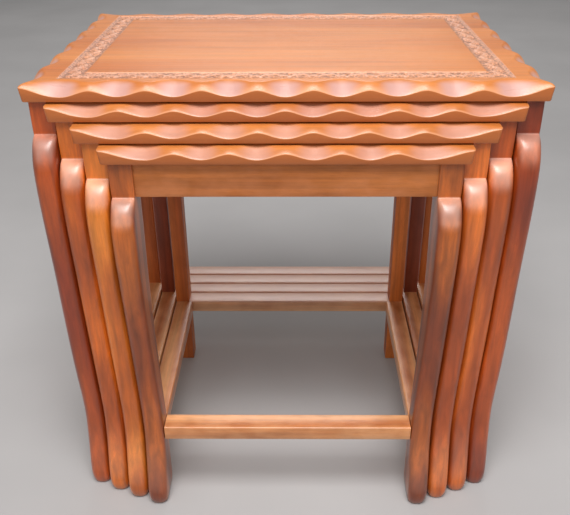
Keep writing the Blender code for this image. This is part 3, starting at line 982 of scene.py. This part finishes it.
@dataclass
class FrontLeg:
    """A front leg: square post, knee with a ledge, S-curve, narrow ankle and toe."""

    number: int
    side: Side
    arris: float = 0.0088
    knee_arris: float = 0.0105
    post_arris: float = 0.0011
    back_arris: float = 0.0030
    swell: float = 0.0007
    corner_points: int = 5
    detail: int = 2

    @property
    def node(self) -> str:
        """The CAD node that this stands for."""
        return f"table_{self.number}_front_leg_{self.side.name.lower()}"

    def measure(self) -> None:
        """Takes the leg's places from the frame."""
        low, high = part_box(self.node)
        self.underside = high.z
        self.post_back = high.y
        self.post_front = high.y - POST_DEPTH
        self.toe = self.post_front - low.y
        apron_low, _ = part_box(f"table_{self.number}_side_apron_{self.side.name.lower()}")
        self.ledge = apron_low.z
        self.outer = high.x if self.side is Side.RIGHT else -low.x
        self.inner = self.outer - LEG_WIDTH

    def lean(self, height: float) -> float:
        """How far the leg stands inside its post, the same for every table.

        Args:
            height: the height above the floor.

        Returns:
            The distance.
        """
        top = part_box("table_1_side_apron_left")[0].z
        low = STRETCHER_TOP - STRETCHER_THICKNESS - SEAT_MARGIN
        high = STRETCHER_TOP + SEAT_MARGIN
        span = top - high
        knots = (
            (0.0, 0.98), (0.36 * low, 0.90), (low, 1.0), (high, 1.0), (high + 0.08 * span, 0.72),
            (high + 0.17 * span, 0.48), (high + 0.27 * span, 0.22), (high + 0.38 * span, 0.05),
            (high + 0.49 * span, 0.0), (high + 10 * span, 0.0),
        )
        return ANKLE_INSET * between(knots, height)

    def sections(self) -> list[Section]:
        """The levels of the leg, from the post's top down to the toe."""
        low = STRETCHER_TOP - STRETCHER_THICKNESS - SEAT_MARGIN
        high = STRETCHER_TOP + SEAT_MARGIN
        span = self.ledge - high
        slim = POST_DEPTH - ANKLE_REAR
        post, knee, leg = self.post_arris, self.knee_arris, self.arris
        back, deep, bulge, ledge, toe = ANKLE_REAR, POST_DEPTH, KNEE_REACH, self.ledge, self.toe
        shapes = (
            (self.underside, 0.0, deep, 0.0, post),
            (self.underside - 0.0005, 0.0, deep, 0.0, post),
            (ledge + 0.0120, 0.0, deep, 0.0, post),
            (ledge + 0.0008, 0.0, deep, 0.0, post),
            (ledge + 0.0001, 0.03 * bulge, deep, 0.0003, 0.0025),
            (ledge - 0.0007, 0.20 * bulge, deep, 0.0003, 0.0060),
            (ledge - 0.0034, 0.42 * bulge, deep, -0.0003, 0.0085),
            (ledge - 0.0095, 0.66 * bulge, deep, -self.swell, knee),
            (ledge - 0.0200, 0.86 * bulge, deep, -self.swell, knee),
            (high + 0.915 * span, 0.97 * bulge, deep, -self.swell, knee),
            (high + 0.84 * span, 1.01 * bulge, deep, -self.swell, knee),
            (high + 0.705 * span, 0.89 * bulge, deep, 0.0, leg),
            (high + 0.54 * span, 0.66 * bulge, back + 0.94 * slim, 0.0, leg),
            (high + 0.40 * span, 0.60 * bulge, back + 0.80 * slim, 0.0, leg),
            (high + 0.27 * span, 0.62 * bulge, back + 0.56 * slim, 0.0, leg),
            (high + 0.13 * span, 0.74 * bulge, back + 0.27 * slim, 0.0, leg),
            (high + 0.02 * span, 0.56 * toe, back, 0.0, leg),
            (low, 0.64 * toe, back, 0.0, leg),
            (0.50 * low, 0.86 * toe, 0.003, 0.0, leg),
            (0.22 * low, 0.99 * toe, 0.003, 0.0, leg),
            (0.09 * low, 0.98 * toe, 0.003, 0.0006, leg),
            (0.0008, 0.92 * toe, 0.001, 0.0024, leg),
            (0.0, 0.90 * toe, 0.000, 0.0034, leg),
        )
        return [Section(z, self.post_front - reach, self.post_front + rear, inset, sharp)
                for z, reach, rear, inset, sharp in shapes]

    def build(self) -> bpy.types.Object:
        """Models the leg.

        Returns:
            The finished leg.
        """
        self.measure()
        piece = self.draw_out()
        self.shape(piece)
        self.finish_surface(piece)
        if self.number < TABLE_COUNT:
            self.rebate(piece)
        smooth(piece, 42)
        return piece

    def draw_out(self) -> bpy.types.Object:
        """Draws a round blank down from the post's top, with a ring at every section."""
        levels = self.sections()
        deselect()
        bpy.ops.mesh.primitive_circle_add(vertices=4 * self.corner_points, radius=LEG_WIDTH / 2,
                                          fill_type="NGON", location=(0.0, 0.0, levels[0].height))
        piece = rename(bpy.context.object, f"{self.node}_carved")
        bpy.ops.object.transform_apply(location=True, rotation=True, scale=True)
        edit(piece, "FACE")
        bpy.ops.mesh.select_all(action="SELECT")
        for above, section in zip(levels, levels[1:]):
            move = {"value": (0.0, 0.0, section.height - above.height)}
            bpy.ops.mesh.extrude_region_move(TRANSFORM_OT_translate=move)
        close_edit()
        return piece

    def ring(self, section: Section) -> list[Vector]:
        """The outline of a section, anticlockwise from the outer back corner.

        Args:
            section: the level.

        Returns:
            Its points: a square with a round front and softened back arrises.
        """
        lean = self.lean(section.height)
        xs = sorted(self.side.value * (face - lean) for face in (self.inner, self.outer))
        low = Vector((xs[0] + section.inset, section.front))
        high = Vector((xs[1] - section.inset, section.back))
        points = []
        for corner in range(4):
            is_back = corner < 2
            radius = min(section.arris, self.back_arris) if is_back else section.arris
            x = high.x - radius if corner in (0, 3) else low.x + radius
            y = high.y - radius if is_back else low.y + radius
            for step in range(self.corner_points):
                turn = (corner + step / (self.corner_points - 1)) * math.pi / 2
                points.append(Vector((x + radius * math.cos(turn), y + radius * math.sin(turn),
                                      section.height)))
        return points

    def shape(self, piece: bpy.types.Object) -> None:
        """Shapes every ring of the blank to its section.

        Args:
            piece: the drawn-out blank.
        """
        levels = self.sections()
        rings = [[] for _ in levels]
        for vert in piece.data.vertices:
            at = min(range(len(levels)), key=lambda i: abs(levels[i].height - vert.co.z))
            rings[at].append(vert)
        for section, verts in zip(levels, rings):
            verts.sort(key=lambda vert: (math.atan2(vert.co.x, -vert.co.y) - math.pi / 2)
                       % (2 * math.pi))
            for vert, point in zip(verts, self.ring(section)):
                vert.co = point

    def finish_surface(self, piece: bpy.types.Object) -> None:
        """Smooths the shaped blank.

        Args:
            piece: the shaped blank.
        """
        edit(piece, "FACE")
        face_outward()
        close_edit()
        bpy.ops.object.modifier_add(type="SUBSURF")
        subdivision = piece.modifiers[-1]
        subdivision.levels = self.detail
        subdivision.render_levels = self.detail
        bpy.ops.object.modifier_apply(modifier=subdivision.name)

    def rebate(self, piece: bpy.types.Object) -> None:
        """Cuts the post's share of the groove that the next table's top runs in.

        Args:
            piece: the smoothed leg.
        """
        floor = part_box(f"table_{self.number + 1}_top")[0].z - GROOVE_REST
        inside, wall = self.inner - REBATE_CLEAR, self.inner + GROOVE_DEPTH
        xs = sorted((self.side.value * inside, self.side.value * wall))
        low = (xs[0], self.post_front - CLEAR_CUT, floor)
        high = (xs[1], self.post_back + CLEAR_CUT, self.underside + CLEAR_CUT)
        cut_with_box(piece, low, high)


# ---------------- boards and back legs


@dataclass
class Board:
    """A sawn and planed piece with softened arrises: an apron, a stretcher or a back leg."""

    node: str
    grain: Grain
    upper: float
    lower: float = 0.0009

    @property
    def axis(self) -> int:
        """The axis that the piece runs along."""
        return {Grain.ALONG_X: 0, Grain.ALONG_Y: 1, Grain.ALONG_Z: 2}[self.grain]

    def build(self) -> bpy.types.Object:
        """Models the piece.

        Returns:
            The finished piece.
        """
        low, high = (Vector(corner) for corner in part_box(self.node))
        if self.grain is not Grain.ALONG_Z:
            low[self.axis] += TENON_LENGTH
            high[self.axis] -= TENON_LENGTH
        piece = add_block(f"{self.node}_planed", low, high)
        middle = (low + high) / 2
        edit(piece, "EDGE")
        bpy.ops.mesh.select_all(action="SELECT")
        bpy.ops.mesh.subdivide(number_cuts=1)

        def is_long(edge: bmesh.types.BMEdge, above: bool) -> bool:
            """Tells whether an edge is one of the upper or lower long arrises."""
            if len(edge.link_faces) != 2 or edge.calc_face_angle(0.0) < SHARP_EDGE:
                return False
            start, end = (vert.co for vert in edge.verts)
            runs_along = abs((end - start).normalized()[self.axis]) > 0.999
            return runs_along and ((start + end).z / 2 > middle.z) == above

        if self.axis == 2:
            pick(piece, "edges", lambda edge: edge.calc_face_angle(0.0) > SHARP_EDGE)
            bpy.ops.mesh.bevel(offset=self.upper, segments=3, affect="EDGES")
        else:
            for above, radius, segments in ((True, self.upper, 3), (False, self.lower, 2)):
                pick(piece, "edges", lambda edge: is_long(edge, above))
                bpy.ops.mesh.bevel(offset=radius, segments=segments, affect="EDGES")
        close_edit()
        smooth(piece, 35)
        return piece


# ---------------- whole tables


@dataclass
class NestTable:
    """One table of the nest."""

    number: int

    @property
    def body(self) -> str:
        """The CAD body that every piece of this table rides on."""
        return f"table_{self.number}"

    def finish(self, piece: bpy.types.Object, node: str, wood: Varnish, grain: Grain,
               carved: bool = False) -> None:
        """Varnishes a piece and puts it in its node's place.

        Args:
            piece: the finished piece.
            node: the CAD node that it stands for.
            wood: its varnish.
            grain: the way its grain runs.
            carved: whether it holds the carver's attributes.
        """
        piece.data.materials.clear()
        seed = sum(ord(letter) * (at + 1) for at, letter in enumerate(node))
        piece.data.materials.append(wood.brush(f"{node}_wood", grain, seed, carved))
        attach(piece, self.body)
        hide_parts(node)
        LOG.info("%s: %d faces", piece.name, len(piece.data.polygons))

    def make_top(self) -> None:
        """The scalloped board."""
        top = ScallopedTop(self.number, CARVED_GRID if self.number == 1 else PLAIN_GRID)
        self.finish(top.build(), top.node, TOP_WOOD, Grain.ALONG_X, carved=True)

    def make_front_legs(self) -> None:
        """Both curved legs."""
        for side in Side:
            leg = FrontLeg(self.number, side)
            wood = LEG_WOODS[self.number][side]
            self.finish(leg.build(), leg.node, wood, Grain.ALONG_Z)

    def add_board(self, name: str, grain: Grain, wood: Varnish, arris: float,
                  groove_side: str = "") -> None:
        """Makes one apron, stretcher or back leg.

        Args:
            name: the piece's name within the table.
            grain: the way it runs.
            wood: its varnish.
            arris: how round its upper arrises are.
            groove_side: left or right on an apron that the next table's top runs in.
        """
        board = Board(f"{self.body}_{name}", grain, arris)
        piece = board.build()
        if groove_side and self.number < TABLE_COUNT:
            self.groove(piece, board.node, groove_side)
        self.finish(piece, board.node, wood, grain)

    def make_boards(self) -> None:
        """The back legs, aprons and stretchers."""
        back_leg_wood = BACK_LEG_RED if self.number == 3 else BACK_LEG_WOOD
        for side in ("left", "right"):
            self.add_board(f"back_leg_{side}", Grain.ALONG_Z, back_leg_wood, BACK_LEG_ARRIS)
            self.add_board(f"side_apron_{side}", Grain.ALONG_Y, APRON_WOOD, APRON_ARRIS, side)
            self.add_board(f"side_stretcher_{side}", Grain.ALONG_Y, STRETCHER_WOOD,
                           STRETCHER_ARRIS)
        # The back stretchers take the paler copy: painted skylight.
        ends = {"back": BACK_STRETCHER_PAINTED_SKYLIGHT}
        if self.number == TABLE_COUNT:
            ends["front"] = STRETCHER_WOOD
        for end, wood in ends.items():
            self.add_board(f"{end}_apron", Grain.ALONG_X, APRON_WOOD, APRON_ARRIS)
            self.add_board(f"{end}_stretcher", Grain.ALONG_X, wood, STRETCHER_ARRIS)

    def groove(self, piece: bpy.types.Object, node: str, side: str) -> None:
        """Cuts the groove that the next table's top runs in.

        Args:
            piece: the planed side apron.
            node: its CAD node.
            side: left or right.
        """
        low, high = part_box(node)
        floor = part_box(f"table_{self.number + 1}_top")[0].z - GROOVE_REST
        if side == "right":
            xs = (low.x - CLEAR_CUT, low.x + GROOVE_DEPTH)
        else:
            xs = (high.x - GROOVE_DEPTH, high.x + CLEAR_CUT)
        cut_with_box(piece, (xs[0], low.y - CLEAR_CUT, floor),
                     (xs[1], high.y + CLEAR_CUT, high.z + CLEAR_CUT))

    def build(self) -> None:
        """Makes every piece of the table."""
        self.make_top()
        self.make_front_legs()
        self.make_boards()


# ---------------- studio


@dataclass(frozen=True)
class Softbox:
    """A square area light aimed at the nest."""

    name: str
    place: Point
    size: float
    power: float
    colour: Colour

    def build(self) -> None:
        """Adds the light."""
        deselect()
        bpy.ops.object.light_add(type="AREA", location=self.place)
        lamp = bpy.context.object
        lamp.name = self.name
        lamp.data.size = self.size
        lamp.data.energy = self.power
        lamp.data.color = self.colour
        aim = Vector((0.0, 0.0, 0.30)) - Vector(self.place)
        lamp.rotation_euler = aim.to_track_quat("-Z", "Y").to_euler()


class Studio:
    """The floor, the sky, the lights and the camera."""

    boxes = (
        Softbox("overhead", (0.0, -1.0, 2.4), 1.2, 62.0, (1.0, 0.96, 0.95)),
        Softbox("back_sky", (0.0, 3.1, 2.8), 1.8, 36.0, (1.0, 0.96, 0.95)),
        Softbox("front_left", (-1.9, -2.4, 1.7), 1.6, 11.0, (1.0, 0.97, 0.94)),
        Softbox("right_fill", (2.1, -2.0, 1.4), 1.6, 9.0, (1.0, 0.97, 0.94)),
    )
    floor_colour: Colour = (0.42, 0.42, 0.42)
    floor_size: float = 12.0
    floor_drop: float = 0.0005
    camera_place: Point = (0.0109, -0.9030, 0.7659)
    camera_pitch: float = 28.4967
    camera_yaw: float = -0.6238
    camera_roll: float = 0.3009
    camera_lens: float = 46.678
    camera_shift: tuple[float, float] = (-0.00678, -0.0256)

    def build(self) -> None:
        """Sets everything up."""
        for name in ("Cube", "Light", "Camera"):
            if name in bpy.data.objects:
                bpy.data.objects.remove(bpy.data.objects[name], do_unlink=True)
        self.make_floor()
        self.make_sky()
        for box in self.boxes:
            box.build()
        self.make_camera()

    def make_floor(self) -> None:
        """A plain pale floor."""
        deselect()
        bpy.ops.mesh.primitive_plane_add(size=self.floor_size, location=(0.0, 0.0, -self.floor_drop))
        floor = rename(bpy.context.object, "floor")
        sheet = Sheet("pale_floor")
        place = sheet.add("TexCoord").outputs["Object"]
        speck = sheet.ramp(sheet.noise(place, (3.0, 3.0, 3.0), 3.0), 0.3, 0.7, 0.94, 1.04)
        colour = sheet.shade(speck, self.floor_colour)
        shader = sheet.add("BsdfPrincipled", {"Base Color": colour, "Roughness": 0.85})
        sheet.add("OutputMaterial", {"Surface": shader.outputs[0]})
        floor.data.materials.append(sheet.material)

    def make_sky(self) -> None:
        """A pale, even sky."""
        world = bpy.data.worlds.new("pale_sky")
        bpy.context.scene.world = world
        world.use_nodes = True
        background = world.node_tree.nodes["Background"]
        background.inputs["Color"].default_value = (0.86, 0.84, 0.83, 1.0)
        background.inputs["Strength"].default_value = 0.32

    def make_camera(self) -> None:
        """The camera, level with a standing person's chest, looking down at the front."""
        yaw, pitch, roll = (math.radians(turn) for turn in
                            (self.camera_yaw, self.camera_pitch, self.camera_roll))
        level = Matrix(((1, 0, 0), (0, math.sin(pitch), math.cos(pitch)),
                        (0, -math.cos(pitch), math.sin(pitch))))
        to_camera = Matrix.Rotation(roll, 3, "Z") @ level @ Matrix.Rotation(yaw, 3, "Z")
        data = bpy.data.cameras.new("camera")
        data.sensor_width = 36.0
        data.lens = self.camera_lens
        data.shift_x, data.shift_y = self.camera_shift
        camera = bpy.data.objects.new("camera", data)
        bpy.context.scene.collection.objects.link(camera)
        turned = to_camera.transposed().to_4x4()
        camera.matrix_world = Matrix.Translation(self.camera_place) @ turned
        bpy.context.scene.camera = camera


def main() -> None:
    """Builds the studio and the four tables."""
    logging.basicConfig(level=logging.INFO, format="%(name)s %(message)s")
    bpy.context.scene.view_settings.view_transform = "Standard"
    Studio().build()
    for number in range(1, TABLE_COUNT + 1):
        NestTable(number).build()


if __name__ == "__main__":
    main()
